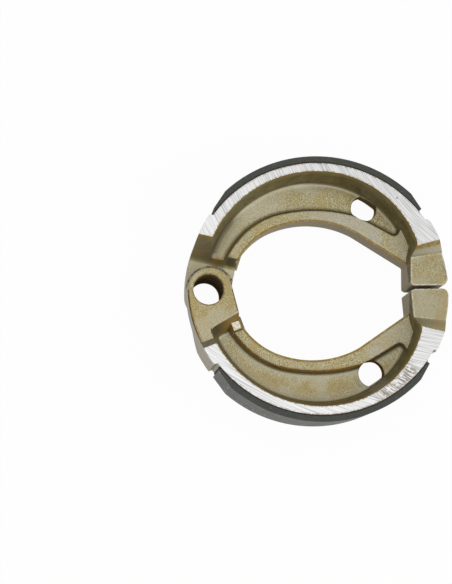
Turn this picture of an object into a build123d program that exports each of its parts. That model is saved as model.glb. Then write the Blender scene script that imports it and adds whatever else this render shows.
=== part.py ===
from build123d import *
import os
from math import asin, cos, degrees, radians, sin, tan

# A pair of drum brake shoes, closed round one anchor pin (millimetres).
# Origin: on the anchor bore's axis, half way through the width.
# +X runs along the pair's line of symmetry to the cam, +Y to the upper shoe,
# +Z along the bore. Both castings have one form: the upper is the lower
# turned half round about X, so their half-lapped eyes lie on each other.

# Rings and width
ANCHOR_TO_CENTRE = 44.2   # anchor pin to the centre of the brake drum
WIDTH = 25.0              # rim and lining, along the axle
CAST_RADIUS = 52.4        # outer face of the two ends, past the lining
RIM_INNER_RADIUS = 47.0   # inner edge of the machined rim face
SHOE_SHIFT = 1.6          # each shoe's own centre, at rest, from the drum's
SEAT_RADIUS = 51.9        # about the shoe's own centre: the lining is bonded here
LINING_RADIUS = 54.7      # about the shoe's own centre: ground friction face
TIP_RADIUS = 53.4         # about the shoe's own centre: bare ends of the lining

# Levels of the casting, above and below its middle plane
FACE = WIDTH / 2          # machined face of the rim
EYE_FACE = 10.75          # outer face of the half-lapped eye
BLOCK_FACE = 9.0          # faces of the cam block
RIB_FACE = 4.8            # faces of the inner rib
WEB_FACE = 2.2            # faces of the thin web
ROOT = 1.6                # drafted walls start here, inside the web
LAP_GAP = 0.3             # play between the two eyes
RIM_DRAFT = 14            # degrees, walls of the hollow
RIB_DRAFT = 25            # degrees, outer side of the rib
LAND_DRAFT = 27           # degrees, wall of the eye's land towards the hollow

# Soft cast edges
FLOOR_FILLET = 2.0
RIB_EDGE = 0.8
LAND_EDGE = 0.7
BLOCK_EDGE = 0.4
TOUCH = 0.01              # faces and edges this near to a level lie on it

# Eye and cam end
BORE_RADIUS = 6.0
EYE_CENTRE = (0.6, 0)     # the eye's outline is tangent to the outer ring
EYE_RADIUS = EYE_CENTRE[0] + CAST_RADIUS - ANCHOR_TO_CENTRE
CAM_GAP = 1.3             # slit between the two cam pads at rest
CAM_CORNER = 2.6          # outer corner of the cam pad
CAM_INNER_CORNER = 2.2

# Hole for the end of the return spring
SPRING_HOLE_RADIUS = 5.2
SPRING_HOLE = (64.9, -33.6)
HOLE_LIMIT_RADIUS = 43.3  # the hole stops where the rim's wall starts

# Ends of the seat and of the lining, in degrees about the shoe's own centre
SEAT_START, SEAT_END = 33.4, 143.3
LINING_START, LINING_END = 37.8, 140.8
CHAMFER_START, CHAMFER_END = 45.5, 132.0
STEP_START, STEP_END = 30.7, 145.4   # about the drum's centre
STEP_CORNER = 3.0

# Inner edge of the rib, from the eye's neck to the cam block
NECK = (9.17, 1.98)
NECK_END = (11.8, -9.4)
NECK_BEND = (12.4, -11.7)
RIB_TURN = (29.4, -26.1)
RIB_TAIL = (60.2, -23.4)
RIB_TIP = (80.9, -9.9)
TIP_CORNER = 1.5

# Outer edge of the rib at its root
EDGE_NECK = (6.8, -13.4)
EDGE_TURN = (30.5, -32.6)
EDGE_TAIL = (62.7, -31.0)
EDGE_END = (76.9, -23.0)
EDGE_WALL = (80.5, -30.4)

# The rim's inner wall, at its root, draws in towards the cam block
WALL_SHRINK = (FACE - ROOT) * tan(radians(RIM_DRAFT))
WALL_RADIUS = RIM_INNER_RADIUS - WALL_SHRINK
WALL_TURN = 85            # degrees round the drum where it starts to draw in
WALL_END = (81.3, -17.4)

# Root of the wall of the eye's land, and its corner with the rim
LAND_FOOT = ((17.2, -11.0), (-20, -32.0))
LAND_CORNER = (2.6, -16.7, 6.0)
LAND_CORNER_FILLET = 2.2

# Slopes between the machined face and the lower faces at both ends
LAND_TURN = -69.0         # degrees, direction in which the eye's land climbs
LAND_SLOPE = (18.5, 20.95)
BLOCK_FOOT = ((70, -10.6), (100, -14.3))   # line where the block's face ends
BLOCK_HEAD = ((70, -12.6), (100, -20.4))   # line where the machined face ends
RAMP_TURN = -75.3         # degrees, direction in which the ramp climbs
RAMP = (12.7, 20.4)       # foot and head of the ramp behind the lap
RAMP_FILLET = 3.0

# Small milled pad on the rib, beside the eye
PAD_CENTRE = (11.0, -13.9)
PAD_LENGTH, PAD_WIDTH = 3.2, 3.1
PAD_TURN = -71.0
PAD_DRAFT = 35
PAD_FACE = 6.0

CAM_Y = -CAM_GAP / 2
CAM_START = degrees(asin(CAM_GAP / 2 / CAST_RADIUS))


def polar(radius, angle):
    """A point of the lower shoe on a circle about the drum's centre."""
    turn = radians(angle)
    return (ANCHOR_TO_CENTRE + radius * cos(turn), -radius * sin(turn))


def ring_arc(radius, start, end):
    """An arc about the drum's centre, from angle start to angle end."""
    return ThreePointArc(polar(radius, start), polar(radius, (start + end) / 2), polar(radius, end))


def own(radius, angle):
    """A point of the lower shoe on a circle about the shoe's own centre."""
    turn = radians(angle)
    return (ANCHOR_TO_CENTRE + radius * cos(turn), SHOE_SHIFT - radius * sin(turn))


def own_arc(radius, start, end):
    """An arc about the shoe's own centre, from angle start to angle end."""
    return ThreePointArc(own(radius, start), own(radius, (start + end) / 2), own(radius, end))


def along(angle):
    """An upright plane through the bore's axis: its x runs in the direction angle, its y is +Z."""
    turn = radians(angle)
    return Plane((0, 0, 0), x_dir=(cos(turn), sin(turn), 0), z_dir=(sin(turn), -cos(turn), 0))


def at_level(shapes, level):
    """The shapes that lie on one level of the casting."""
    return shapes.filter_by_position(Axis.Z, level - TOUCH, level + TOUCH)


with BuildPart() as lower_shoe:
    # Web, wider than it will stay, up to the middle plane
    with BuildSketch():
        with BuildLine():
            ring_arc(60, -10, 190)
            Line(polar(60, 190), polar(60, -10))
        make_face()
    extrude(amount=WEB_FACE)

    # Rib round the opening: its outer side is drafted
    with BuildSketch(Plane.XY.offset(ROOT)):
        with BuildLine():
            neck_side = ThreePointArc(EDGE_NECK, (15.0, -24.7), EDGE_TURN)
            TangentArc(EDGE_TURN, EDGE_TAIL, tangent=neck_side % 1)
            Polyline(EDGE_TAIL, EDGE_END, EDGE_WALL, (100, -30.4), (100, 8))
            Polyline((100, 8), (-16, 8), (-16, -12.0), EDGE_NECK)
        make_face()
        fillet(vertices().sort_by_distance(EDGE_TAIL)[0], 15)
        fillet(vertices().sort_by_distance(EDGE_END)[0], 0.9)
    extrude(amount=RIB_FACE - ROOT, taper=RIB_DRAFT)

    # Rim, from the neck round to the cam block: its inner wall is drafted
    with BuildSketch(Plane.XY.offset(ROOT)):
        with BuildLine():
            Polyline(polar(WALL_RADIUS, 170), (-20, -7.7), (-20, -70), (110, -70), (110, 6))
            Polyline((110, 6), (79.2, 6), (80.1, -12.7), WALL_END)
            inward = (sin(radians(WALL_TURN)), cos(radians(WALL_TURN)))
            TangentArc(polar(WALL_RADIUS, WALL_TURN), WALL_END, tangent=inward)
            ring_arc(WALL_RADIUS, WALL_TURN, 170)
        make_face()
    extrude(amount=FACE - ROOT, taper=RIM_DRAFT)
    mirror(about=Plane.XY)

    # Land round the eye, on the upper face only
    with BuildSketch(Plane.XY.offset(ROOT)):
        with BuildLine():
            Polyline(LAND_FOOT[0], (LAND_FOOT[0][0], 14), (-20, 14), LAND_FOOT[1], close=True)
        make_face()
    extrude(amount=FACE - ROOT, taper=LAND_DRAFT)

    # Fillets: the corner between land and rim, both floors of the hollow, the rib's edges
    fillet(edges().sort_by_distance(LAND_CORNER)[0], LAND_CORNER_FILLET)
    floors = faces().filter_by(Plane.XY).filter_by_position(Axis.Z, -WEB_FACE, WEB_FACE)
    fillet(floors.filter_by(lambda floor: 600 < floor.area < 800).edges(), FLOOR_FILLET)
    for side in (1, -1):
        rib_edges = at_level(edges(), side * RIB_FACE).filter_by_position(Axis.Y, -33, -12.5)
        fillet(rib_edges.filter_by_position(Axis.X, 7.8, 80), RIB_EDGE)

    # Trim to the outline seen along the axle
    with BuildSketch(Plane.XY.offset(-FACE)):
        with BuildLine():
            ring_arc(CAST_RADIUS, 180, STEP_END)
            Line(polar(CAST_RADIUS, STEP_END), own(SEAT_RADIUS, SEAT_END))
            own_arc(SEAT_RADIUS, SEAT_END, SEAT_START)
            Line(own(SEAT_RADIUS, SEAT_START), polar(CAST_RADIUS, STEP_START))
            ring_arc(CAST_RADIUS, STEP_START, CAM_START)
            Polyline(polar(CAST_RADIUS, CAM_START), (RIB_TIP[0], CAM_Y), RIB_TIP, RIB_TAIL)
            ThreePointArc(RIB_TAIL, (44.3, -28.0), RIB_TURN)
            ThreePointArc(RIB_TURN, (17.0, -18.3), NECK_BEND)
            Polyline(NECK_BEND, NECK_END, NECK)
            ThreePointArc(NECK, (EYE_CENTRE[0], EYE_RADIUS), polar(CAST_RADIUS, 180))
        make_face()
        fillet(vertices().sort_by_distance(polar(CAST_RADIUS, CAM_START))[0], CAM_CORNER)
        fillet(vertices().sort_by_distance((RIB_TIP[0], CAM_Y))[0], CAM_INNER_CORNER)
        fillet(vertices().sort_by_distance(RIB_TIP)[0], TIP_CORNER)
        fillet(vertices().sort_by_distance(polar(CAST_RADIUS, STEP_START))[0], STEP_CORNER)
    extrude(amount=WIDTH, mode=Mode.INTERSECT)

    # Ramp behind the lap, on the lower face
    with BuildSketch(along(RAMP_TURN)):
        with BuildLine():
            Polyline((-20, LAP_GAP / 2), (RAMP[0], LAP_GAP / 2), (RAMP[1], -FACE))
            Polyline((RAMP[1], -FACE), (RAMP[1], -FACE - 2), (-20, -FACE - 2), (-20, LAP_GAP / 2))
        make_face()
        fillet(vertices().sort_by_distance((RAMP[0], 0))[0], RAMP_FILLET)
    extrude(amount=22, both=True, mode=Mode.SUBTRACT)

    # Eye's land, and its slope up to the machined face
    with BuildSketch(along(LAND_TURN)):
        with BuildLine():
            Polyline((-20, EYE_FACE), (LAND_SLOPE[0], EYE_FACE), (LAND_SLOPE[1], FACE))
            Polyline((LAND_SLOPE[1], FACE), (LAND_SLOPE[1], FACE + 2), (-20, FACE + 2), (-20, EYE_FACE))
        make_face()
    extrude(amount=22, both=True, mode=Mode.SUBTRACT)

    # Small pad on the rib, beside the eye
    with BuildSketch(Plane.XY.offset(RIB_FACE - 1)):
        with Locations(PAD_CENTRE):
            grow = 2 * (PAD_FACE - RIB_FACE + 1) * tan(radians(PAD_DRAFT))
            Rectangle(PAD_LENGTH + grow, PAD_WIDTH + grow, rotation=PAD_TURN)
    extrude(amount=PAD_FACE - RIB_FACE + 1, taper=PAD_DRAFT)

    # Cam block's faces, and their slopes up to the machined faces
    for side in (1, -1):
        with BuildSketch(Plane.XY.offset(side * BLOCK_FACE)):
            with BuildLine():
                Polyline(BLOCK_FOOT[0], BLOCK_FOOT[1], (100, 8), (70, 8), close=True)
            make_face()
        with BuildSketch(Plane.XY.offset(side * FACE)):
            with BuildLine():
                Polyline(BLOCK_HEAD[0], BLOCK_HEAD[1], (100, 8), (70, 8), close=True)
            make_face()
        loft(mode=Mode.SUBTRACT)

    # Soft edges round the block's faces and the eye's land
    for side in (1, -1):
        block_face = at_level(faces().filter_by(Plane.XY), side * BLOCK_FACE)
        fillet(block_face.edges().filter_by_position(Axis.Y, BLOCK_FOOT[0][1], 0), BLOCK_EDGE)
    land = at_level(faces().filter_by(Plane.XY), EYE_FACE)
    fillet(land.edges().filter_by_position(Axis.Y, -19, EYE_RADIUS), LAND_EDGE)

    # Anchor bore
    with BuildSketch():
        Circle(BORE_RADIUS)
    extrude(amount=FACE, both=True, mode=Mode.SUBTRACT)

    # Hole for the return spring
    with BuildSketch():
        with Locations(SPRING_HOLE):
            Circle(SPRING_HOLE_RADIUS)
        with Locations((ANCHOR_TO_CENTRE, 0)):
            Circle(HOLE_LIMIT_RADIUS, mode=Mode.INTERSECT)
    extrude(amount=RIB_FACE, both=True, mode=Mode.SUBTRACT)

seat_start = own(SEAT_RADIUS, LINING_START)
seat_end = own(SEAT_RADIUS, LINING_END)
with BuildPart() as lower_lining:
    with BuildSketch(Plane.XY.offset(-FACE)):
        with BuildLine():
            own_arc(SEAT_RADIUS, LINING_START, LINING_END)
            Polyline(seat_end, own(TIP_RADIUS, LINING_END), own(LINING_RADIUS, CHAMFER_END))
            own_arc(LINING_RADIUS, CHAMFER_END, CHAMFER_START)
            Polyline(own(LINING_RADIUS, CHAMFER_START), own(TIP_RADIUS, LINING_START), seat_start)
        make_face()
    extrude(amount=WIDTH)

with BuildPart() as upper_shoe:
    add(lower_shoe.part, rotation=(180, 0, 0))

with BuildPart() as upper_lining:
    add(lower_lining.part, rotation=(180, 0, 0))

lower_shoe.part.label = "lower_shoe"
lower_lining.part.label = "lower_lining"
upper_shoe.part.label = "upper_shoe"
upper_lining.part.label = "upper_lining"

os.makedirs("parts", exist_ok=True)
export_step(lower_shoe.part, "parts/lower_shoe.step")
export_step(lower_lining.part, "parts/lower_lining.step")
export_step(upper_shoe.part, "parts/upper_shoe.step")
export_step(upper_lining.part, "parts/upper_lining.step")
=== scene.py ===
# %% [markdown]
# # A pair of drum brake shoes, dressed for the studio
# The solids come from the CAD model and stay as they are: two die-cast
# aluminium shoes, lapped at their eyes on one anchor bore, each with a moulded
# friction lining bonded to its rim. Blender adds what CAD has no words for: the
# coat on the casting, the milled faces, the ground lining, glue and light.

# %% Load the fixed solids
from math import cos, radians, sin

import bmesh
import bpy
from mathutils import Matrix, Vector


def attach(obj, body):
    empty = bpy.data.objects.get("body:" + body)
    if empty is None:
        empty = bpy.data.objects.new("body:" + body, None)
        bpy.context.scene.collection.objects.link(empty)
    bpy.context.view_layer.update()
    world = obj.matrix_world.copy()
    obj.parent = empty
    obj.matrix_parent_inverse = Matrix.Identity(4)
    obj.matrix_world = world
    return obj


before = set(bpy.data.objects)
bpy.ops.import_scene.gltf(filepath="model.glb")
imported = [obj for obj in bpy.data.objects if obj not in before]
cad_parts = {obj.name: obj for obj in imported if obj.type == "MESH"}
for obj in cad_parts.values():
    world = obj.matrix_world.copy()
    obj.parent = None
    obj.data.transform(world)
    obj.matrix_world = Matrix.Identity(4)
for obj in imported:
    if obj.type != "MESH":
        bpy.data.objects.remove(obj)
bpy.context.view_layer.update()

scene = bpy.context.scene
scene.view_settings.view_transform = "Standard"
MM = 0.001
print("nodes:", sorted(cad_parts))

# %% [markdown]
# ## Small helpers for writing a material
# A material is a tree of nodes. Written out in full it is long, so one helper
# adds a node and joins its inputs, and the others do one small job each. A plain
# number or colour goes on the socket, a socket is joined to it.

# %% Helpers for node trees
def add_node(tree, kind, inputs=None, **settings):
    """A new node with its settings; inputs maps a socket to a value or to another socket."""
    made = tree.nodes.new("ShaderNode" + kind)
    for name, value in settings.items():
        setattr(made, name, value)
    for name, value in (inputs or {}).items():
        socket = made.inputs[name]
        if isinstance(value, bpy.types.NodeSocket):
            tree.links.new(value, socket)
        else:
            socket.default_value = (*value, 1) if socket.type == "RGBA" else value
    return made


def new_material(name):
    """An empty material with its output and one main shader."""
    made = bpy.data.materials.new(name)
    made.use_nodes = True
    tree = made.node_tree
    tree.nodes.clear()
    shader = add_node(tree, "BsdfPrincipled")
    add_node(tree, "OutputMaterial", {"Surface": shader.outputs[0]})
    return made, tree, shader


def maths(tree, operation, first, second=0.0, clamp=False):
    """One sum on one or two values."""
    return add_node(tree, "Math", {0: first, 1: second}, operation=operation, use_clamp=clamp).outputs[0]


def grain(tree, place, scale, detail=2.0, roughness=0.6, distortion=0.0):
    """Soft noise of one scale, counted per metre."""
    made = add_node(tree, "TexNoise", {"Vector": place, "Scale": scale, "Detail": detail,
                                       "Roughness": roughness, "Distortion": distortion})
    return made.outputs["Fac"]


def blend(tree, factor, first, second):
    """A value between two others, by a factor."""
    return add_node(tree, "Mix", {0: factor, 2: first, 3: second}).outputs[0]


def over(tree, factor, under, upper):
    """The upper colour laid over the one under it, by a factor."""
    return add_node(tree, "Mix", {0: factor, 6: under, 7: upper}, data_type="RGBA").outputs[2]

# %% [markdown]
# ## Masks
# A mask is a value from 0 to 1 that says where something holds, with a soft
# limit, as no stain has a hard one. Several masks are multiplied to narrow a
# place down, and a tone is then laid over the skin there.

# %% Masks from a range
def span(tree, value, low, high, start=0.0, end=1.0):
    """Turns low..high of a value softly into start..end."""
    made = add_node(tree, "MapRange", {0: value, 1: low, 2: high, 3: start, 4: end},
                    interpolation_type="SMOOTHSTEP")
    return made.outputs[0]


def span_mm(tree, length, low, high, start=0.0, end=1.0):
    """The same for a length, with its limits in millimetres."""
    return span(tree, length, low * MM, high * MM, start, end)


def product(tree, *masks):
    """All masks at once: what remains is where every one of them holds."""
    result = masks[0]
    for mask in masks[1:]:
        result = maths(tree, "MULTIPLY", result, mask)
    return result


def between(tree, value, low, high, soft):
    """1 where a value lies between two limits."""
    return product(tree, span(tree, value, low - soft, low + soft),
                   span(tree, value, high + soft, high - soft))


def between_mm(tree, length, low, high, soft):
    """The same for a length, with its limits in millimetres."""
    return between(tree, length, low * MM, high * MM, soft * MM)


def lay(tree, skin, tone, strength, *masks):
    """A tone laid over the skin where all masks hold, as strongly as strength says."""
    return over(tree, product(tree, *masks, strength), skin, tone)

# %% [markdown]
# ## Spots and rings
# Many marks on a turned or milled part go round something, so their masks come
# from the distance to a centre in the plan, or from the turn about it.

# %% Masks from a place
def from_centre(tree, where, centre):
    """The way from a centre, given in millimetres, to a point of the plan."""
    middle = (centre[0] * MM, centre[1] * MM, 0)
    return add_node(tree, "VectorMath", {0: where, 1: middle}, operation="SUBTRACT").outputs[0]


def away(tree, where, centre):
    """Distance in the plan from a centre given in millimetres."""
    offset = from_centre(tree, where, centre)
    return add_node(tree, "VectorMath", {0: offset}, operation="LENGTH").outputs["Value"]


def turn_about(tree, where, centre):
    """Angle in radians of a point about a centre given in millimetres."""
    split = add_node(tree, "SeparateXYZ", {0: from_centre(tree, where, centre)})
    return maths(tree, "ARCTAN2", split.outputs[1], split.outputs[0])


def spot(tree, where, centre, radius, soft=0.3):
    """1 inside a round spot, fading out over a part of its radius."""
    return span_mm(tree, away(tree, where, centre), radius * (1 + soft), radius * (1 - soft))


def band(tree, where, centre, radius, half_width, soft=0.5):
    """1 on a narrow ring about a centre."""
    off = maths(tree, "ABSOLUTE", maths(tree, "SUBTRACT", away(tree, where, centre), radius * MM))
    return span_mm(tree, off, half_width * (1 + soft), half_width * (1 - soft))

# %% [markdown]
# ## Specks, edges and arcs
# Pores and metal chips are a few cells of a cell pattern. An edge is found by a
# bevel node: where the rounded normal differs from the true one, an edge is near.
# An arc is given by three of its points; its centre and radius follow from them.

# %% Specks, edges and arcs
def specks(tree, at, scale, share, radius, soft=0.2, channel=0):
    """1 near the middles of a share of a pattern's cells; the radius counts in cells."""
    cells = add_node(tree, "TexVoronoi", {"Vector": at.place, "Scale": scale})
    lot = add_node(tree, "SeparateColor", {0: cells.outputs["Color"]}).outputs[channel]
    near = span(tree, cells.outputs["Distance"], radius * (1 + soft), radius * (1 - soft))
    return product(tree, maths(tree, "GREATER_THAN", lot, 1 - share), near)


def edge_likeness(tree, radius):
    """1 on open surfaces, less than 1 nearer than a radius in millimetres to a sharp edge."""
    soft = add_node(tree, "Bevel", {"Radius": radius * MM}, samples=6)
    real = add_node(tree, "NewGeometry")
    return add_node(tree, "VectorMath", {0: soft.outputs[0], 1: real.outputs["Normal"]},
                    operation="DOT_PRODUCT").outputs["Value"]


def circle_through(first, second, third):
    """Centre and radius of the circle through three points of the plan."""
    (ax, ay), (bx, by), (cx, cy) = first, second, third
    d = 2 * (ax * (by - cy) + bx * (cy - ay) + cx * (ay - by))
    a, b, c = ax * ax + ay * ay, bx * bx + by * by, cx * cx + cy * cy
    centre = ((a * (by - cy) + b * (cy - ay) + c * (ay - by)) / d,
              (a * (cx - bx) + b * (ax - cx) + c * (bx - ax)) / d)
    return centre, Vector((ax - centre[0], ay - centre[1])).length

# %% [markdown]
# ## Where on the casting are we?
# One coat covers both castings, but it looks different on floors, on walls and
# where a cutter has taken it off. The height along the bore and the direction of
# the surface say which of these a point is, so no painting by hand is needed.
# The two shoes are one form turned over, so marks of the mould are placed in
# folded coordinates, where y counts upwards from the line between the shoes.

# %% Heights, places and leans
# Heights from the middle plane and places in the plan, all in millimetres
FACE, LAND, BLOCK_FACE, PAD_FACE, RIB_FACE, WEB_FACE = 12.5, 10.75, 9.0, 6.0, 4.8, 2.2
DRUM_CENTRE = (44.2, 0)
SHOE_SHIFT = 1.6        # a shoe's own centre lies this far across the line between the shoes
SHOE_CENTRE = (DRUM_CENTRE[0], -SHOE_SHIFT)
SEAT_RADIUS = 51.9      # the lining's seat, about the shoe's own centre
SPRING_HOLE = (64.9, 33.6)
PAD = (11.0, 13.9)
# Faces that lean can be told by their flatness alone
RIB_SIDE_LEAN, SCOOP_LEAN, RAMP_LEAN = (0.39, 0.44), (0.42, 0.49), (0.49, 0.57)
BLOCK_SLOPE_LEAN, LAND_SLOPE_LEAN = (0.55, 0.97), (0.76, 0.87)
# Stretches of the rim, as turns about the drum's centre in radians
# CROWN is the stretch of the upper rim whose foot gets a painted highlight
CROWN, CHATTERED = (1.60, 2.35), (-1.12, -0.72)
print("face, land, block, rib and web stand", FACE, LAND, BLOCK_FACE, RIB_FACE, WEB_FACE, "mm up")

# %% [markdown]
# ## What a shaded point knows
# The Object coordinates of a carried-over solid are its CAD coordinates, so a
# place can be named in millimetres. The class below works such places out once
# for a material, and everything that is laid on the metal reads them.

# %% Measures of a point
class Place:
    """What a point being shaded knows: where it is and how its surface lies."""

    def __init__(self, tree):
        coords = add_node(tree, "TexCoord")
        self.straight = coords.outputs["Object"]
        self.x, self.y, along_bore = add_node(tree, "SeparateXYZ", {0: self.straight}).outputs
        normal = add_node(tree, "SeparateXYZ", {0: coords.outputs["Normal"]})
        self.slope_y = normal.outputs[1]
        self.flatness = maths(tree, "ABSOLUTE", normal.outputs[2])
        self.level = maths(tree, "ABSOLUTE", along_bore)
        self.folded_y = maths(tree, "ABSOLUTE", self.y)
        self.plan = add_node(tree, "CombineXYZ", {0: self.x, 1: self.y}).outputs[0]
        self.folded = add_node(tree, "CombineXYZ", {0: self.x, 1: self.folded_y}).outputs[0]
        # Grain is cut from noise that stands askew, as noise fades in planes of its own grid
        self.place = add_node(tree, "VectorRotate", {"Vector": self.straight, "Rotation": (0.5, 0.65, 0.3)},
                              rotation_type="EULER_XYZ").outputs[0]
        self.radius = away(tree, self.plan, DRUM_CENTRE)
        self.turn = turn_about(tree, self.plan, DRUM_CENTRE)
        self.upper = span_mm(tree, self.y, -0.5, 0.5)
        self.lower = span_mm(tree, self.y, 0.5, -0.5)
        # The upper shoe is turned over, so its eye has the land below
        way_up = maths(tree, "SUBTRACT", self.lower, self.upper)
        self.land_side = span_mm(tree, maths(tree, "MULTIPLY", along_bore, way_up), -0.1, 0.1)

# %% [markdown]
# ## What a point of a casting knows as well
# The coat comes from a bath: it has a fine grain, clouds, large patches, ragged
# limits and runs. All its stains use the same grains, so that they lie in one
# skin, and the faces that many stains ask for are worked out here.

# %% Measures of a casting
class CastPlace(Place):
    """A point of a casting also knows the grains of its coat and the part it is on."""

    def __init__(self, tree):
        super().__init__(tree)
        self.fine = grain(tree, self.place, 2900, 2.0, 0.6)
        self.cloudy = grain(tree, self.place, 170, 4.0, 0.65)
        self.patches = grain(tree, self.place, 42, 3.0, 0.55, 0.5)
        self.rag = grain(tree, self.place, 800, 3.0)
        self.ragged = span(tree, self.rag, 0.36, 0.58, 0.25, 1.0)
        self.runs = span(tree, grain(tree, self.place, 110, 2.0), 0.34, 0.56, 0.35, 1.0)
        self.flat = span(tree, self.flatness, 0.94, 0.98)
        self.on_web = span_mm(tree, self.level, WEB_FACE + 1.4, WEB_FACE + 0.7)
        self.on_lap = span_mm(tree, self.level, 0.8, 0.5)
        self.on_land = between_mm(tree, self.level, LAND - 0.05, LAND + 0.05, 0.02)
        self.near_eye = span_mm(tree, self.x, 24, 20)
        self.near_cam = span_mm(tree, self.x, 68, 70)
        # Walls of the anchor bore and of the spring holes
        upright = span(tree, self.flatness, 0.06, 0.03)
        holes = maths(tree, "MAXIMUM", spot(tree, self.plan, (0, 0), 6.06, 0.004),
                      spot(tree, self.folded, SPRING_HOLE, 5.26, 0.006))
        self.drilled = product(tree, upright, holes)


# Tones that the stains share
GOLD, BROWN, ORANGE = (0.300, 0.180, 0.020), (0.200, 0.100, 0.010), (0.330, 0.185, 0.030)
DIRT = (0.060, 0.045, 0.020)

# %% [markdown]
# ## Milled faces
# The rim's side faces are milled bright after casting and coating. A face cutter
# sweeps over each shoe in wide arcs and leaves fine lines. Noise that varies
# fast with the distance from the sweep's centre, and slowly with the angle, gives
# such lines.

# %% Milling lines
# Centres of the two sweeps
CUTTER_LOWER = (122, 143)
CUTTER_UPPER = (166, 106)


def swept(tree, at, centre, along, across):
    """Noise drawn out along circles about the centre of a sweep; along and across are counts per metre."""
    reach = Vector((centre[0] - DRUM_CENTRE[0], centre[1] - DRUM_CENTRE[1])).length * MM
    out = maths(tree, "MULTIPLY", away(tree, at.plan, centre), across)
    round_ = maths(tree, "MULTIPLY", turn_about(tree, at.plan, centre), reach * along)
    return grain(tree, add_node(tree, "CombineXYZ", {0: out, 1: round_}).outputs[0], 1.0, 1.0, 0.65)


print("sweep centres at", CUTTER_LOWER, CUTTER_UPPER, "mm")

# %% [markdown]
# ## Chatter, pores and silver
# Near the lower cam end the rim was too thin for the cutter: it chattered and
# left short dark steps across. The cut also opened a few pores of the casting.

# %% Milled silver
def chatter(tree, at):
    """1 on short steps that lie aslant across the lower rim near its cam end."""
    per_radian, per_metre = 104.0, 750.0
    aslant = maths(tree, "SUBTRACT", maths(tree, "MULTIPLY", at.turn, per_radian),
                   maths(tree, "MULTIPLY", at.radius, per_metre))
    beat = add_node(tree, "CombineXYZ", {0: aslant, 1: maths(tree, "MULTIPLY", at.radius, 150.0)})
    steps = span(tree, grain(tree, beat.outputs[0], 1.0, 1.5, 0.5), 0.45, 0.52)
    places = span(tree, grain(tree, at.place, 520, 1.0), 0.34, 0.46)
    stretch = between(tree, at.turn, *CHATTERED, 0.07)
    inner_side = span_mm(tree, at.radius, 51.6, 49.4, 0.2, 1.0)
    return product(tree, steps, places, stretch, inner_side)


def milled_silver(tree, at):
    """Colour of the milled faces, and the lines for their bump."""
    fine_lines, broad_lines = [
        blend(tree, at.upper, swept(tree, at, CUTTER_LOWER, along, across),
              swept(tree, at, CUTTER_UPPER, along, across))
        for along, across in ((45, 2300), (60, 1500))]
    silver = over(tree, span(tree, fine_lines, 0.36, 0.58), (0.62, 0.62, 0.615), (0.92, 0.92, 0.915))
    silver = over(tree, span(tree, broad_lines, 0.40, 0.66, 0.0, 0.30), silver, (0.98, 0.98, 0.975))
    silver = lay(tree, silver, (0.265, 0.225, 0.155), 0.85, chatter(tree, at))
    pores = maths(tree, "MAXIMUM", specks(tree, at, 260.0, 0.015, 0.075, 1 / 3, channel=1),
                  spot(tree, at.plan, (76.65, 35.7), 0.30, 0.5))
    silver = over(tree, pores, silver, (0.10, 0.095, 0.09))
    # The coat of the hollow's wall runs a little way over the cut edge
    ragged = span(tree, grain(tree, at.place, 1100, 2.0), 0.42, 0.56)
    silver = lay(tree, silver, GOLD, 0.85, span(tree, edge_likeness(tree, 1.1), 0.995, 0.955),
                 span_mm(tree, at.radius, 51, 50), ragged)
    # A notch in the inner edge of the lower rim
    silver = lay(tree, silver, (0.16, 0.13, 0.05), 0.8, spot(tree, at.plan, (88.6, -26.5), 0.75))
    return silver, fine_lines

# %% [markdown]
# ## The coat
# Die-cast aluminium with a thin yellow conversion coat: tan on flat floors,
# olive on the drafted walls of the hollow, darker there partly as painted shade,
# and a plain grey brown on the upright walls, which a trimming tool has cut. Draft
# tells the walls apart: a drafted wall leans, so it isn't quite upright.

# %% Tan floors, olive and grey walls
def floor_tone(tree, at):
    """Tan, with golden clouds and pale patches."""
    tan = over(tree, span(tree, at.fine, 0.41, 0.59), (0.285, 0.235, 0.100), (0.670, 0.605, 0.375))
    tan = over(tree, span(tree, at.cloudy, 0.45, 0.70, 0.0, 0.45), tan, (0.500, 0.355, 0.100))
    return over(tree, span(tree, at.patches, 0.47, 0.60, 0.0, 0.45), tan, (0.565, 0.540, 0.420))


def wall_tone(tree, at):
    """Olive with streaks where a wall leans, darker partly as painted shade and on the upper shoe lighter
    towards the eye as painted light; grey brown where it is upright.
    """
    # The drafted walls' olive is darker than the floors' tan: partly the coat's tone, partly painted shade of
    # the hollow
    olive = over(tree, at.fine, (0.125, 0.098, 0.034), (0.205, 0.170, 0.072))
    # Painted light: the upper shoe's walls are lighter towards the eye end
    olive = lay(tree, olive, (0.290, 0.260, 0.155), 0.20, at.upper, span_mm(tree, at.x, 60, 12))
    drawn = add_node(tree, "CombineXYZ", {0: maths(tree, "MULTIPLY", at.turn, 11.0),
                                          1: maths(tree, "MULTIPLY", at.level, 260.0)})
    streaks = grain(tree, drawn.outputs[0], 1.0, 3.0, 0.6)
    olive = over(tree, span(tree, streaks, 0.50, 0.66, 0.0, 0.50), olive, (0.075, 0.058, 0.022))
    olive = over(tree, span(tree, streaks, 0.46, 0.32, 0.0, 0.35), olive, (0.290, 0.250, 0.130))
    outer = over(tree, at.fine, (0.30, 0.275, 0.21), (0.45, 0.425, 0.35))
    inner = over(tree, at.fine, (0.195, 0.150, 0.082), (0.325, 0.265, 0.155))
    bare = over(tree, span_mm(tree, at.radius, 48, 46), outer, inner)
    return over(tree, span(tree, at.flatness, 0.10, 0.18), bare, olive)


def cast_skin(tree, at):
    """The coat before stains and marks: floors and walls."""
    return over(tree, span(tree, at.flatness, 0.55, 0.95), wall_tone(tree, at), floor_tone(tree, at))

# %% [markdown]
# ## Tones of single faces
# Each raised face took the bath and the tools in its own way. The ramp behind
# the lap is a cast slope with golden clouds, the lap is paler, and the rib's
# drafted side stays darkest.

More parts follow.
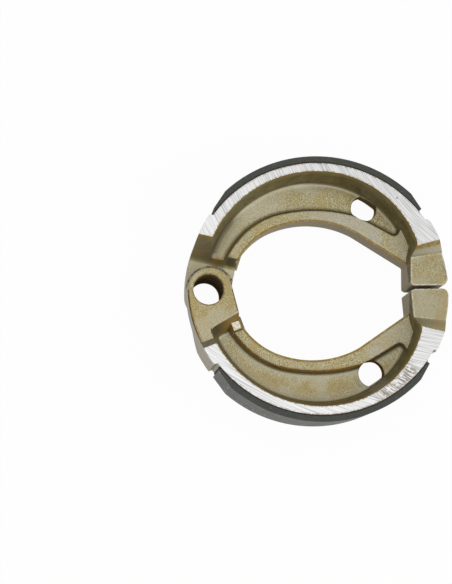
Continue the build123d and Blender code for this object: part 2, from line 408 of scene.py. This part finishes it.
# %% Block, eye and rib
def tone_faces(tree, at, skin):
    """Block, land, ramp and lap."""
    skin = lay(tree, skin, (0.235, 0.200, 0.095), 0.25, span_mm(tree, at.x, 70, 74),
               between_mm(tree, at.level, BLOCK_FACE - 0.1, BLOCK_FACE + 0.1, 0.05))
    skin = lay(tree, skin, (0.420, 0.290, 0.085), span(tree, at.patches, 0.58, 0.42, 0.10, 0.32),
               at.on_land, at.near_eye)
    clouds = over(tree, span(tree, at.cloudy, 0.48, 0.66), (0.165, 0.140, 0.072), (0.230, 0.155, 0.042))
    clouds = over(tree, span(tree, at.fine, 0.35, 0.65, 0.0, 0.5), clouds, (0.250, 0.225, 0.140))
    ramp = product(tree, between(tree, at.flatness, *RAMP_LEAN, 0.015), span_mm(tree, at.x, 30, 25))
    skin = over(tree, ramp, skin, clouds)
    return lay(tree, skin, (0.700, 0.660, 0.480), 0.55, at.on_lap, span(tree, at.flatness, 0.95, 0.99))


def tone_rib(tree, at, skin):
    """The rib's dark side, and fields on its face that a tool has rubbed."""
    skin = lay(tree, skin, (0.062, 0.045, 0.014), 0.65, between(tree, at.flatness, *RIB_SIDE_LEAN, 0.012),
               span_mm(tree, at.level, RIB_FACE + 0.1, RIB_FACE - 0.1))
    on_rib = product(tree, between_mm(tree, at.level, RIB_FACE - 0.3, RIB_FACE + 0.1, 0.1), at.flat)
    pale = over(tree, at.fine, (0.43, 0.41, 0.34), (0.66, 0.65, 0.58))
    skin = lay(tree, skin, pale, 0.55, at.upper, on_rib, span_mm(tree, at.x, 30, 56),
               span_mm(tree, at.x, 71.6, 70.8))
    grey = over(tree, at.fine, (0.420, 0.395, 0.310), (0.660, 0.640, 0.540))
    return lay(tree, skin, grey, 0.35, at.lower, on_rib, span_mm(tree, at.x, 62, 68))

# %% [markdown]
# ## The web
# The thin floor of the hollow gets painted shade in its corners, which an ambient
# occlusion node finds: it measures how much a point is closed in. Near the upper
# eye it gets a painted highlight.

# %% Web
RIB_BOW = (43.58, 29.0)     # centre of the lower rib's outer edge


def tone_web(tree, at, skin):
    """A painted highlight near the upper eye, and painted shade in the corners."""
    # Painted highlight: a pale sheen on the upper web near the eye
    painted_sheen = over(tree, at.fine, (0.540, 0.510, 0.380), (0.860, 0.830, 0.680))
    skin = lay(tree, skin, painted_sheen, 0.45, at.upper, spot(tree, at.plan, (21.5, 32.0), 10, 0.7),
               at.flat, at.on_web)
    # Painted shade: corners that are closed in are darkened
    around = add_node(tree, "AmbientOcclusion", {"Distance": 5 * MM}, samples=8, only_local=True)
    painted_corner_shade = span(tree, around.outputs["AO"], 0.18, 0.58, 0.60, 0.0)
    return over(tree, painted_corner_shade, skin, (0.085, 0.062, 0.018))


def tone_lower_web(tree, at, skin):
    """On the lower shoe the web gets a painted highlight along the rib, and is warm beyond that."""
    from_bow = away(tree, at.plan, RIB_BOW)
    # Painted highlight: a pale band on the lower web along the rib's foot
    skin = lay(tree, skin, (0.600, 0.570, 0.440), 0.45, at.lower, at.on_web,
               span_mm(tree, from_bow, 66.5, 62.5), span_mm(tree, at.radius, 41, 39),
               span(tree, at.flatness, 0.9, 0.98))
    warm = over(tree, at.fine, (0.310, 0.225, 0.075), (0.560, 0.440, 0.200))
    return lay(tree, skin, warm, 0.60, at.lower, at.on_web, between_mm(tree, from_bow, 65.5, 70, 1.5),
               span(tree, at.patches, 0.62, 0.45), at.flat)

# %% [markdown]
# ## Feet of the walls
# Where a wall runs out into the web the casting is rounded. Some of these feet
# get a painted highlight, and the others painted shade.

# %% Feet
def rim_foot(tree, at):
    """1 on the rounded foot of the rim's wall, and how much of it gets a painted highlight."""
    foot = product(tree, between(tree, at.flatness, 0.66, 0.985, 0.10), at.on_web,
                   span_mm(tree, at.radius, 40.5, 42))
    # rubbed is the share of the foot that gets a painted highlight: the lower shoe in part, the upper one on
    # its crown
    rubbed = maths(tree, "MAXIMUM", maths(tree, "MULTIPLY", at.lower, 0.65),
                   between(tree, at.turn, *CROWN, 0.12))
    return foot, rubbed


def shade_feet(tree, at, skin):
    """Painted shade on the rim's foot where it gets no painted highlight, most of all towards the upper eye.
    """
    foot, rubbed = rim_foot(tree, at)
    skin = lay(tree, skin, (0.150, 0.125, 0.060), 0.60, foot, maths(tree, "SUBTRACT", 1.0, rubbed))
    # Painted shade on the upper web along the rim's foot, at the eye end of the hollow
    return lay(tree, skin, (0.115, 0.098, 0.048), 0.80, at.upper, span_mm(tree, at.level, 6.0, 4.8),
               span(tree, at.turn, 2.25, 2.50), span_mm(tree, at.radius, 42.2, 43.8),
               span_mm(tree, at.folded_y, 15, 16.5), span_mm(tree, at.x, 1.5, 3))


def highlight_feet(tree, at, skin):
    """Painted highlight on the feet of the rim and the rib, in patches."""
    # The rib's foot gets its painted highlight where its surface faces towards -y
    rib_foot = product(tree, between(tree, at.flatness, 0.84, 0.985, 0.04), at.on_web,
                       span(tree, at.slope_y, -0.12, -0.3), span(tree, at.turn, 2.45, 2.30))
    pale = maths(tree, "MAXIMUM", maths(tree, "MULTIPLY", rib_foot, 0.65),
                 product(tree, *rim_foot(tree, at), 0.60))
    return lay(tree, skin, (0.62, 0.60, 0.50), span(tree, at.patches, 0.35, 0.6, 0.75, 1.0), pale)

# %% [markdown]
# ## Golden edges
# The bath runs off and dries along edges. Where a wall meets a milled face it
# leaves a ragged golden line, with a weaker glow below it. The blocks' slopes get
# painted light on the upper shoe and painted shade on the lower one.

# %% Tops of the walls
def stain_and_shade_wall_tops(tree, at, skin):
    """Golden lines below the milled faces, on walls and on the upper block's slope; painted light and shade
    on the blocks' slopes.
    """
    steep = span(tree, at.flatness, 0.75, 0.55)
    skin = lay(tree, skin, (0.330, 0.265, 0.105), 0.45, span_mm(tree, at.level, FACE - 3.2, FACE - 1.0),
               steep, span_mm(tree, at.radius, 49, 48))
    skin = lay(tree, skin, GOLD, 0.85, span_mm(tree, at.level, FACE - 1.5, FACE - 0.5), steep, at.ragged)
    slope = between(tree, at.flatness, *BLOCK_SLOPE_LEAN, 0.02)
    skin = lay(tree, skin, GOLD, 0.85, span_mm(tree, at.level, FACE - 2.1, FACE - 1.3), slope, at.ragged,
               span_mm(tree, at.y, 0, 2, 0.35, 1.0))
    # Painted light and shade: the block slope is pale on the upper shoe and dark on the lower one
    grey = over(tree, at.upper, (0.245, 0.215, 0.140), (0.50, 0.48, 0.38))
    return lay(tree, skin, grey, 0.55, slope, between_mm(tree, at.level, 9.6, 11.2, 0.4))

# %% [markdown]
# ## Edges of the rib
# A brown band dries on the rib's outer edge and a golden line along its inner
# edge, which is two arcs and a straight, each given by the points it joins.

# %% Edges of the rib
RIB_TURN, RIB_MIDDLE, RIB_TAIL, RIB_TIP = (29.4, 26.1), (44.3, 28.0), (60.2, 23.4), (80.9, 9.9)
NECK_BEND, NECK_MIDDLE = (12.4, 11.7), (17.0, 18.3)
NECK_BOW = (37.47, 0.23)    # centre of the lower neck's outer edge
print("rib's inner arch: radius", round(circle_through(RIB_TURN, RIB_MIDDLE, RIB_TAIL)[1], 1), "mm")


def rib_inner_edge(tree, at):
    """1 on a narrow line just inside the rib's inner edge."""
    line = 0.42
    centre, radius = circle_through(RIB_TURN, RIB_MIDDLE, RIB_TAIL)
    arch = product(tree, band(tree, at.folded, centre, radius + line, line, 0.35),
                   between_mm(tree, at.x, 29.4, 60.5, 0.5))
    centre, radius = circle_through(RIB_TURN, NECK_MIDDLE, NECK_BEND)
    neck = product(tree, band(tree, at.folded, centre, radius + line, line, 0.35),
                   span_mm(tree, at.x, 29.9, 28.9))
    run = Vector((RIB_TIP[0] - RIB_TAIL[0], RIB_TIP[1] - RIB_TAIL[1])).normalized()
    offset = RIB_TAIL[0] * -run.y + RIB_TAIL[1] * run.x
    across = add_node(tree, "VectorMath", {0: at.folded, 1: (-run.y, run.x, 0)}, operation="DOT_PRODUCT")
    off = maths(tree, "SUBTRACT", across.outputs["Value"], (offset + line) * MM)
    straight = product(tree, span_mm(tree, maths(tree, "ABSOLUTE", off), line * 1.35, line * 0.65),
                       span_mm(tree, at.x, 60, 61))
    return maths(tree, "MAXIMUM", maths(tree, "MAXIMUM", arch, neck), straight)


def stain_rib(tree, at, skin):
    """Orange and brown along the lower shoe's outer edge, golden along both inner edges."""
    on_rib = between_mm(tree, at.level, 3.9, 5.0, 0.2)
    lower_rib = product(tree, on_rib, at.lower)
    skin = lay(tree, skin, ORANGE, 0.92, lower_rib, span_mm(tree, away(tree, at.plan, RIB_BOW), 60.2, 61.5),
               at.runs, between_mm(tree, at.x, 20, 62, 8))
    skin = lay(tree, skin, ORANGE, 0.6, lower_rib, span_mm(tree, away(tree, at.plan, NECK_BOW), 30.6, 32.4),
               at.runs, span_mm(tree, at.x, 30, 24))
    skin = lay(tree, skin, (0.105, 0.055, 0.012), 0.8, between(tree, at.flatness, 0.70, 0.97, 0.04),
               between_mm(tree, at.level, 4.2, 4.82, 0.04), at.lower, at.ragged)
    return lay(tree, skin, GOLD, 0.9, on_rib, rib_inner_edge(tree, at),
               span(tree, at.rag, 0.34, 0.50, 0.45, 1.0))

# %% [markdown]
# ## The cam blocks
# Rounded cast edges are rubbed pale in the tumbler and carry a painted highlight,
# and the bath leaves a faint golden ring inside a block's rim. On the lower block it
# dried unevenly.

# %% Rims and wash of the blocks
def stain_and_highlight_block(tree, at, skin):
    """A golden ring just inside the rim of each block, and the rim itself rubbed pale with a painted
    highlight on it.
    """
    on_block = product(tree, at.near_cam,
                       between_mm(tree, at.level, BLOCK_FACE - 0.5, BLOCK_FACE + 0.05, 0.05))
    near_rim = edge_likeness(tree, 1.3)
    skin = lay(tree, skin, (0.270, 0.200, 0.070), span(tree, at.upper, 0, 1, 0.5, 0.2), on_block,
               between(tree, near_rim, 0.984, 0.999, 0.001), span(tree, at.flatness, 0.97, 0.995), at.ragged)
    # The rim is partly worn pale, partly a painted highlight on its rounded edge
    rim = maths(tree, "MAXIMUM", between(tree, at.flatness, 0.35, 0.985, 0.02),
                span(tree, near_rim, 0.985, 0.960))
    pale = over(tree, span(tree, at.rag, 0.42, 0.62), (0.62, 0.54, 0.36), (0.92, 0.90, 0.82))
    return lay(tree, skin, pale, 0.80, rim, on_block)


def stain_lower_block(tree, at, skin):
    """The right half of the lower block is more golden, beyond a ragged slanting line."""
    leaning = maths(tree, "SUBTRACT", at.x, maths(tree, "MULTIPLY", at.y, 0.30))
    leaning = maths(tree, "ADD", leaning, maths(tree, "MULTIPLY", at.rag, 1.6 * MM))
    return lay(tree, skin, (0.400, 0.290, 0.090), 0.45, at.lower, span_mm(tree, leaning, 93.8, 95.2),
               at.near_cam, span_mm(tree, at.level, 8.4, 8.8), at.runs)

# %% [markdown]
# ## Pad and land
# A small pad on the rib was touched by a cutter and is bright, with a golden
# wash beside it. The eye's land is brown down its side, a stain with painted shade
# in it; towards the hollow its rim has a painted highlight and towards the milled
# face its slope painted shade.

# %% Pad and land
def stain_pad(tree, at, skin):
    """The scooped wall below the land, and the milled pad on the rib beside it."""
    warm = over(tree, span_mm(tree, at.x, 2.0, 8.5), (0.090, 0.080, 0.044), (0.340, 0.215, 0.055))
    skin = lay(tree, skin, warm, 0.85, between(tree, at.flatness, *SCOOP_LEAN, 0.015),
               between_mm(tree, at.level, 3.0, 10.2, 0.4), span_mm(tree, at.x, 26, 22))
    on_pad = product(tree, between_mm(tree, at.level, PAD_FACE - 0.2, PAD_FACE + 0.2, 0.08),
                     spot(tree, at.folded, PAD, 3.0, 0.2), span(tree, at.flatness, 0.95, 0.99))
    bright = over(tree, span(tree, at.rag, 0.35, 0.6), (0.60, 0.50, 0.31), (0.95, 0.91, 0.80))
    skin = over(tree, on_pad, skin, bright)
    return lay(tree, skin, (0.330, 0.205, 0.045), 0.6,
               between_mm(tree, at.level, RIB_FACE - 0.1, PAD_FACE + 0.3, 0.1),
               spot(tree, at.folded, PAD, 4.0, 0.2), span(tree, at.flatness, 0.93, 0.85))


def land_rim(tree, at):
    """1 on the rounded rim of the eye's land."""
    return product(tree, between_mm(tree, at.level, 10.0, 10.76, 0.03), at.land_side, at.near_eye)


def stain_and_shade_land(tree, at, skin):
    """A brown side, partly stain and partly painted shade on the rounded rim, and a stained line where the
    land meets the lining's seat.
    """
    # The rounded rim's outer part is brown: a stain with painted shade in it
    brown = over(tree, span(tree, at.rag, 0.40, 0.60), (0.060, 0.040, 0.014), (0.230, 0.130, 0.030))
    skin = lay(tree, skin, brown, 0.90, land_rim(tree, at), span(tree, at.flatness, 0.99, 0.93))
    return lay(tree, skin, (0.300, 0.190, 0.050), 0.80, at.on_land, at.land_side, at.near_eye,
               span_mm(tree, away(tree, at.folded, SHOE_CENTRE), 51.5, 52.1), at.ragged)


def paint_land_light_and_shade(tree, at, skin):
    """Towards the hollow the land's rim gets a painted highlight, towards the milled face its slope painted
    shade.
    """
    # Painted highlight on the lower land's rim where it faces towards -y
    pale = over(tree, at.rag, (0.45, 0.36, 0.18), (0.90, 0.86, 0.72))
    skin = lay(tree, skin, pale, 0.95, land_rim(tree, at), at.lower, span(tree, at.slope_y, -0.20, -0.40))
    # Painted shade: the land's slope towards the milled face is darker grey
    grey = over(tree, at.fine, (0.125, 0.108, 0.068), (0.215, 0.190, 0.130))
    return lay(tree, skin, grey, 0.85, at.land_side, between(tree, at.flatness, *LAND_SLOPE_LEAN, 0.015),
               between_mm(tree, at.level, 10.7, 12.6, 0.05), at.near_eye)

# %% [markdown]
# ## Dirt, stains and painted light where the hollow ends
# Dirt and a painted shadow sit on the lap face along the other shoe's eye. At the
# narrow end of the upper hollow a few soft round spots lie side by side: golden
# stains, darker spots and one small painted highlight.

# %% Dirt, stains and painted light at the eye
# Place in folded coordinates, radius, colour and strength
EYE_STAINS_AND_LIGHT = (
    ((4.2, 12.5), 1.9, (0.310, 0.200, 0.050), 0.80),
    ((7.0, 11.8), 1.1, (0.310, 0.200, 0.050), 0.70),
    ((9.8, 12.4), 1.8, (0.070, 0.055, 0.028), 0.55),
    ((5.5, 10.6), 1.9, (0.110, 0.095, 0.055), 0.50),
    # A small painted highlight
    ((12.4, 12.1), 0.5, (0.750, 0.720, 0.600), 0.60),
    ((-0.3, 17.8), 1.3, (0.310, 0.190, 0.040), 0.75))


def stain_and_light_eye(tree, at, skin):
    """A dark ring on the lap face, dirt and a painted shadow of the other eye, and stains, darker spots and a
    painted highlight at the hollow's end.
    """
    # Dark ring: dirt in the gap and a painted shadow of the other shoe's eye
    ring = band(tree, at.folded, (1.7, 1.5), 9.25, 0.62, 0.25)
    skin = lay(tree, skin, (0.070, 0.048, 0.018), 0.85, ring, at.on_lap, at.ragged)
    low_end = span_mm(tree, at.level, 6.0, 5.0)
    for centre, radius, tint, strength in EYE_STAINS_AND_LIGHT:
        skin = lay(tree, skin, tint, strength, spot(tree, at.folded, centre, radius, 0.6), low_end, at.upper)
    return skin


print(len(EYE_STAINS_AND_LIGHT), "stains at the upper eye")

# %% [markdown]
# ## Marks of the mould and of the drill
# Sleeves that pushed the casting out of its mould left parts of a circle round
# each spring hole. The walls of the drilled holes are painted dark brown, as painted
# shade inside them.
# One block has a cold-shut line with a faint second one, the other a pore.

# %% Mould marks
SLEEVE_ARCS = ((145, 6.35, 2.2), (145, 7.0, 2.6), (-33, 7.3, 1.7))     # angle, radius, reach
# Three points of a line, its half width, the middle and reach of what shows, and its strength
COLD_SHUTS = ((((94.41, 8.83), (95.6, 6.4), (95.7, 3.52)), 0.13, (95.3, 6.2), 2.9, 0.85),
              (((88.84, 11.76), (91.2, 10.4), (91.89, 7.64)), 0.12, (91, 9.8), 2.4, 0.40))
print("cold-shut radii:", [round(circle_through(*line[0])[1], 1) for line in COLD_SHUTS], "mm")


def mark_and_shade_holes(tree, at, skin):
    """Sleeve arcs, holes painted dark as the shade inside them, and the stained rims round them."""
    on_web = span_mm(tree, at.level, WEB_FACE + 1.4, WEB_FACE + 0.8)
    for angle, radius, reach in SLEEVE_ARCS:
        middle = (SPRING_HOLE[0] + radius * cos(radians(angle)),
                  SPRING_HOLE[1] + radius * sin(radians(angle)))
        skin = lay(tree, skin, DIRT, 0.75, band(tree, at.folded, SPRING_HOLE, radius, 0.10, 0.6),
                   spot(tree, at.folded, middle, reach), on_web)
    # Painted shade: the walls of the bore and the spring holes are dark brown
    skin = over(tree, at.drilled, skin, over(tree, at.fine, (0.105, 0.070, 0.030), (0.250, 0.180, 0.095)))
    worn = span(tree, grain(tree, at.place, 650, 2.0), 0.35, 0.55, 0.3, 1.0)
    skin = lay(tree, skin, (0.175, 0.110, 0.035), 0.8, band(tree, at.plan, (0, 0), 6.2, 0.30),
               span(tree, at.flatness, 0.9, 0.98), worn)
    return lay(tree, skin, BROWN, 0.55, band(tree, at.folded, SPRING_HOLE, 5.3, 0.22), on_web)


def tremble(tree, at, size):
    """A small sideways shift that makes a drawn line ragged, in millimetres."""
    noise = add_node(tree, "TexNoise", {"Vector": at.place, "Scale": 500.0, "Detail": 2.0})
    shift = add_node(tree, "VectorMath", {0: noise.outputs["Color"], 1: (0.5, 0.5, 0.5)},
                     operation="SUBTRACT")
    return add_node(tree, "VectorMath", {0: shift.outputs[0], 1: (size * MM, size * MM, 0)},
                    operation="MULTIPLY").outputs[0]


def mark_blocks(tree, at, skin):
    """Cold shuts on the upper block and a pore in the lower one."""
    upper_block = product(tree, span_mm(tree, at.y, 0, 1), span_mm(tree, at.level, 8.7, 8.9))
    shaken = add_node(tree, "VectorMath", {0: at.plan, 1: tremble(tree, at, 0.5)}, operation="ADD").outputs[0]
    for points, half_width, middle, reach, strength in COLD_SHUTS:
        centre, radius = circle_through(*points)
        skin = lay(tree, skin, DIRT, strength, band(tree, shaken, centre, radius, half_width),
                   spot(tree, at.plan, middle, reach), upper_block)
    return over(tree, spot(tree, at.plan, (90.2, -7.75), 0.22, 0.5), skin, DIRT)

# %% [markdown]
# ## One material for both castings
# Coat, stains, marks and milled silver are laid over each other in the order in
# which the shop makes them. The metal shines through the coat, so the shader is
# half metallic and rough; milled faces are all metal and smoother. A bevel node
# rounds every sharp edge by a fifth of a millimetre for the light only.

# %% Casting material
def casting_material():
    """The coat with everything that lies on it, and bright metal where it is milled off."""
    coat, tree, shader = new_material("chromated_casting")
    at = CastPlace(tree)
    skin = cast_skin(tree, at)
    for layer in (tone_faces, tone_rib, tone_web, shade_feet, tone_lower_web, highlight_feet,
                  stain_and_shade_wall_tops, stain_rib, stain_and_highlight_block, stain_pad, stain_lower_block,
                  stain_and_shade_land, stain_and_light_eye, paint_land_light_and_shade, mark_and_shade_holes, mark_blocks):
        skin = layer(tree, at, skin)
    silver, lines = milled_silver(tree, at)
    milled = product(tree, span_mm(tree, at.level, FACE - 0.05, FACE - 0.02),
                     span(tree, at.flatness, 0.97, 0.99))
    tree.links.new(over(tree, milled, skin, silver), shader.inputs["Base Color"])
    # Walls shine less than floors, and the drilled holes don't shine at all
    open_face = span(tree, at.flatness, 0.30, 0.80, 0.35, 1.0)
    shine = product(tree, open_face, maths(tree, "SUBTRACT", 1.0, at.drilled))
    tree.links.new(product(tree, shine, span(tree, milled, 0, 1, 0.50, 0.95)), shader.inputs["Metallic"])
    tree.links.new(product(tree, shine, 0.45), shader.inputs["Specular IOR Level"])
    tree.links.new(span(tree, milled, 0, 1, 0.52, 0.42), shader.inputs["Roughness"])
    soft = add_node(tree, "Bevel", {"Radius": 0.22 * MM}, samples=4)
    bump = add_node(tree, "Bump", {"Height": blend(tree, milled, at.fine, lines), "Normal": soft.outputs[0],
                                   "Strength": 0.30, "Distance": 0.05 * MM})
    tree.links.new(bump.outputs[0], shader.inputs["Normal"])
    return coat


casting = casting_material()
print("casting material nodes:", len(casting.node_tree.nodes))

# %% [markdown]
# ## The friction lining
# A pressed mix of fibres, resin, rubber and metal chips. Its sides are sawn and
# dark, its outside is ground to the drum's radius and lighter, with fine lines
# that run round with the grinding wheel. A few brass chips catch the light.

# %% Lining material
def lining_side(tree, at, fine):
    """The sawn side: dark, grained and a little cloudy."""
    side = over(tree, span(tree, fine, 0.3, 0.7), (0.040, 0.044, 0.038), (0.098, 0.103, 0.090))
    cloudy = grain(tree, at.place, 350, 3.0, 0.6)
    return over(tree, span(tree, cloudy, 0.35, 0.7, 0.0, 0.4), side, (0.060, 0.064, 0.055))


def lining_outside(tree, at):
    """The ground outside: lines run round, so they follow the width only."""
    stretched = add_node(tree, "Mapping", {"Vector": at.straight, "Scale": (60, 60, 1500)})
    lines = grain(tree, stretched.outputs[0], 1.0, 3.0, 0.7)
    outside = over(tree, span(tree, lines, 0.3, 0.7), (0.105, 0.105, 0.095), (0.190, 0.190, 0.172))
    smears = grain(tree, at.place, 230, 3.0, 0.7, 0.6)
    return over(tree, span(tree, smears, 0.45, 0.65, 0.0, 0.55), outside, (0.075, 0.075, 0.066))


def lining_material():
    """Side and outside, pale and brass chips, and the dark joint with the rim."""
    mix, tree, shader = new_material("friction_lining")
    at = Place(tree)
    fine = grain(tree, at.place, 3000, 3.0, 0.75)
    steep = span(tree, at.flatness, 0.6, 0.3)
    colour = over(tree, steep, lining_side(tree, at, fine), lining_outside(tree, at))
    brass = specks(tree, at, 420, 0.070, 0.19)
    colour = lay(tree, colour, (0.35, 0.36, 0.34), 0.35, specks(tree, at, 900, 0.06, 0.22))
    colour = over(tree, brass, colour, (0.85, 0.50, 0.26))
    # Adhesive shows as a thin dark line along the joint with the rim
    joint = span_mm(tree, away(tree, at.folded, SHOE_CENTRE), SEAT_RADIUS + 0.75, SEAT_RADIUS + 0.40)
    ragged = span(tree, grain(tree, at.place, 700, 3.0), 0.30, 0.55, 0.45, 1.0)
    colour = lay(tree, colour, (0.022, 0.012, 0.008), 0.85, joint, ragged)
    tree.links.new(colour, shader.inputs["Base Color"])
    tree.links.new(brass, shader.inputs["Metallic"])
    shader.inputs["Roughness"].default_value = 0.62
    shader.inputs["Specular IOR Level"].default_value = 0.25
    soft = add_node(tree, "Bevel", {"Radius": 0.12 * MM}, samples=4)
    bump = add_node(tree, "Bump", {"Height": fine, "Normal": soft.outputs[0], "Strength": 0.4,
                                   "Distance": 0.06 * MM})
    tree.links.new(bump.outputs[0], shader.inputs["Normal"])
    return mix


lining = lining_material()
print("lining material nodes:", len(lining.node_tree.nodes))

# %% [markdown]
# ## Put the finishes on the solids
# A carried-over solid keeps its mesh; only what its slots hold is changed.

# %% Assign materials
def dress(node, finish):
    """Gives every slot of a solid one finish."""
    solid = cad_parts[node]
    if not solid.material_slots:
        solid.data.materials.append(finish)
    for place in solid.material_slots:
        place.material = finish
    print(node, "has", len(solid.data.polygons), "faces")


for node in ("lower_shoe", "upper_shoe"):
    dress(node, casting)
for node in ("lower_lining", "upper_lining"):
    dress(node, lining)

# %% [markdown]
# ## Adhesive squeezed out at the lining's ends
# The lining is pressed on hot and a little dark adhesive runs out at each end,
# in the corner between its end face and the seat. Set resin is dark and lumpy
# and hardly shines, so one noise drives both its colour and its bump.

# %% Adhesive material
def adhesive_material():
    """A dark, lumpy resin."""
    glue, tree, shader = new_material("bonding_adhesive")
    lumps = grain(tree, Place(tree).place, 1500, 3.0)
    colour = over(tree, lumps, (0.016, 0.010, 0.007), (0.060, 0.034, 0.020))
    tree.links.new(colour, shader.inputs["Base Color"])
    shader.inputs["Roughness"].default_value = 0.6
    shader.inputs["Specular IOR Level"].default_value = 0.15
    bump = add_node(tree, "Bump", {"Height": lumps, "Strength": 0.5, "Distance": 0.08 * MM})
    tree.links.new(bump.outputs[0], shader.inputs["Normal"])
    return glue


adhesive = adhesive_material()
print("adhesive material nodes:", len(adhesive.node_tree.nodes))

# %% [markdown]
# ## Shape of a bead
# A bead is a circle drawn across the width in short steps: each step extrudes
# the last ring, moves it along and swells or shrinks it a little, as a
# squeezed-out bead does.

# %% Bead shape
BEAD_LENGTH = 24.4
BEAD_STEPS = 30
BEAD_REACH = SEAT_RADIUS + 0.10     # middle of a bead, about the shoe's own centre


def bead_shape(side, angle, size):
    """A bead's closed surface, drawn in millimetres and scaled to metres at the end."""
    turn = radians(angle)
    x = DRUM_CENTRE[0] + BEAD_REACH * cos(turn)
    y = side * (BEAD_REACH * sin(turn) - SHOE_SHIFT)
    shape = bmesh.new()
    bmesh.ops.create_circle(shape, cap_ends=True, radius=size, segments=10)
    bmesh.ops.translate(shape, verts=shape.verts, vec=(x, y, -BEAD_LENGTH / 2))
    end = [shape.faces[:][0]]
    for step in range(BEAD_STEPS):
        grown = bmesh.ops.extrude_face_region(shape, geom=end)["geom"]
        bmesh.ops.delete(shape, geom=end, context="FACES_ONLY")
        end = [part for part in grown if isinstance(part, bmesh.types.BMFace)]
        ring = end[0].verts[:]
        wanted = size * (1 + 0.22 * sin(1.7 * step + angle) + 0.12 * sin(0.6 * step + side))
        middle = sum((v.co for v in ring), Vector()) / len(ring)
        now = (ring[0].co - middle).length
        for v in ring:
            v.co = middle + (v.co - middle) * (wanted / now)
        bmesh.ops.translate(shape, verts=ring, vec=(0, 0, BEAD_LENGTH / BEAD_STEPS))
    bmesh.ops.holes_fill(shape, edges=[e for e in shape.edges if e.is_boundary])
    bmesh.ops.recalc_face_normals(shape, faces=shape.faces)
    bmesh.ops.scale(shape, verts=shape.verts, vec=(MM, MM, MM))
    return shape

# %% [markdown]
# ## Four beads
# Each lining has a bead at the eye's end and a thinner one at the cam's end. A
# bead rides on its shoe's body, so it swings with the shoe.

# %% Beads on both shoes
def adhesive_bead(name, body, side, angle, size):
    """A bead across the width; side is -1 on the lower shoe, 1 on the upper, angle is about its centre."""
    shape = bead_shape(side, angle, size)
    data = bpy.data.meshes.new(name)
    shape.to_mesh(data)
    shape.free()
    data.shade_smooth()
    bead = bpy.data.objects.new(name, data)
    data.materials.append(adhesive)
    scene.collection.objects.link(bead)
    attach(bead, body)
    return bead


for body, side in (("lower", -1), ("upper", 1)):
    eye_end = adhesive_bead(body + "_adhesive_eye_end", body, side, 141.3, 0.42)
    cam_end = adhesive_bead(body + "_adhesive_cam_end", body, side, 37.4, 0.30)
    print(body, "beads:", len(eye_end.data.polygons), len(cam_end.data.polygons), "faces")

# %% [markdown]
# ## Table and backdrop
# A white sweep keeps all attention on the metal. The table glows a little for
# the camera and for reflections, so that it comes out white, and it is also a
# real matt surface, so that the part's own shadow stays on it.

# %% Floor
def seen_by(tree, *rays):
    """1 for any of the named kinds of ray."""
    path = add_node(tree, "LightPath")
    seen = path.outputs[rays[0]]
    for kind in rays[1:]:
        seen = maths(tree, "ADD", seen, path.outputs[kind], clamp=True)
    return seen


def floor_material():
    """Matt white paper that glows for the camera and in reflections."""
    paper, tree, shader = new_material("studio_paper")
    tree.nodes.remove(shader)
    matt = add_node(tree, "BsdfDiffuse", {"Color": (0.93, 0.93, 0.93)})
    glow = add_node(tree, "Emission", {"Color": (1, 1, 1), "Strength": 1.0})
    seen = seen_by(tree, "Is Camera Ray", "Is Glossy Ray", "Is Transmission Ray")
    both = add_node(tree, "MixShader", {0: maths(tree, "MULTIPLY", seen, 0.96),
                                        1: matt.outputs[0], 2: glow.outputs[0]})
    tree.links.new(both.outputs[0], tree.nodes["Material Output"].inputs["Surface"])
    return paper


MIDDLE = (0.044, 0, 0)
sheet_mesh = bmesh.new()
bmesh.ops.create_grid(sheet_mesh, x_segments=1, y_segments=1, size=3.0)
bmesh.ops.translate(sheet_mesh, verts=sheet_mesh.verts, vec=(MIDDLE[0], 0, -FACE * MM))
floor_data = bpy.data.meshes.new("studio_floor")
sheet_mesh.to_mesh(floor_data)
sheet_mesh.free()
floor = bpy.data.objects.new("studio_floor", floor_data)
floor_data.materials.append(floor_material())
scene.collection.objects.link(floor)
print("floor at", -FACE, "mm")

# %% [markdown]
# ## Light
# Bright metal shows its surroundings, so most of the light is an even white
# room. One large soft lamp above gives the edges their shine and the hollow its
# soft shadow, and one at the right brightens the walls that face it.

# %% Room and lamps
room = bpy.data.worlds.new("white_room")
scene.world = room
room.use_nodes = True
room_tree = room.node_tree
room_tree.nodes.clear()
seen = seen_by(room_tree, "Is Camera Ray", "Is Transmission Ray")
light_level = span(room_tree, seen, 0, 1, 0.60, 1.0)
sky = add_node(room_tree, "Background", {"Color": (1, 1, 1), "Strength": light_level})
add_node(room_tree, "OutputWorld", {"Surface": sky.outputs[0]})


def softbox(name, place, aim, size, watts):
    """A square area lamp at a place, turned towards a point."""
    data = bpy.data.lights.new(name, "AREA")
    data.energy = watts
    data.shape = "SQUARE"
    data.size = size
    lamp = bpy.data.objects.new(name, data)
    lamp.location = place
    lamp.rotation_euler = (Vector(aim) - Vector(place)).to_track_quat("-Z", "Y").to_euler()
    scene.collection.objects.link(lamp)
    return lamp


softbox("overhead_softbox", (-0.04, -0.08, 0.85), MIDDLE, 0.8, 1.15)
softbox("right_softbox", (1.25, -0.42, 0.85), MIDDLE, 0.7, 5.4)

# %% [markdown]
# ## Camera
# A short telephoto view from a little below and to the left of the bore's axis,
# so that the walls on the near side show.

# %% Camera
def make_camera():
    """A camera given by its three directions and its place in millimetres."""
    data = bpy.data.cameras.new("studio_camera")
    data.lens = 87.44
    data.sensor_width = 36.0
    data.clip_start = 0.01
    data.clip_end = 20
    shot = bpy.data.objects.new("studio_camera", data)
    right = Vector((0.99477026, -0.03074055, 0.09740196))
    up = Vector((0.01433103, 0.98620804, 0.16488884))
    back = Vector((-0.10112736, -0.16263064, 0.98149097))
    place = Vector((-49.47838, -91.72588, 557.25546)) * MM
    rows = [(right[i], up[i], back[i], place[i]) for i in range(3)]
    shot.matrix_world = Matrix(rows + [(0, 0, 0, 1)])
    scene.collection.objects.link(shot)
    return shot


scene.camera = make_camera()
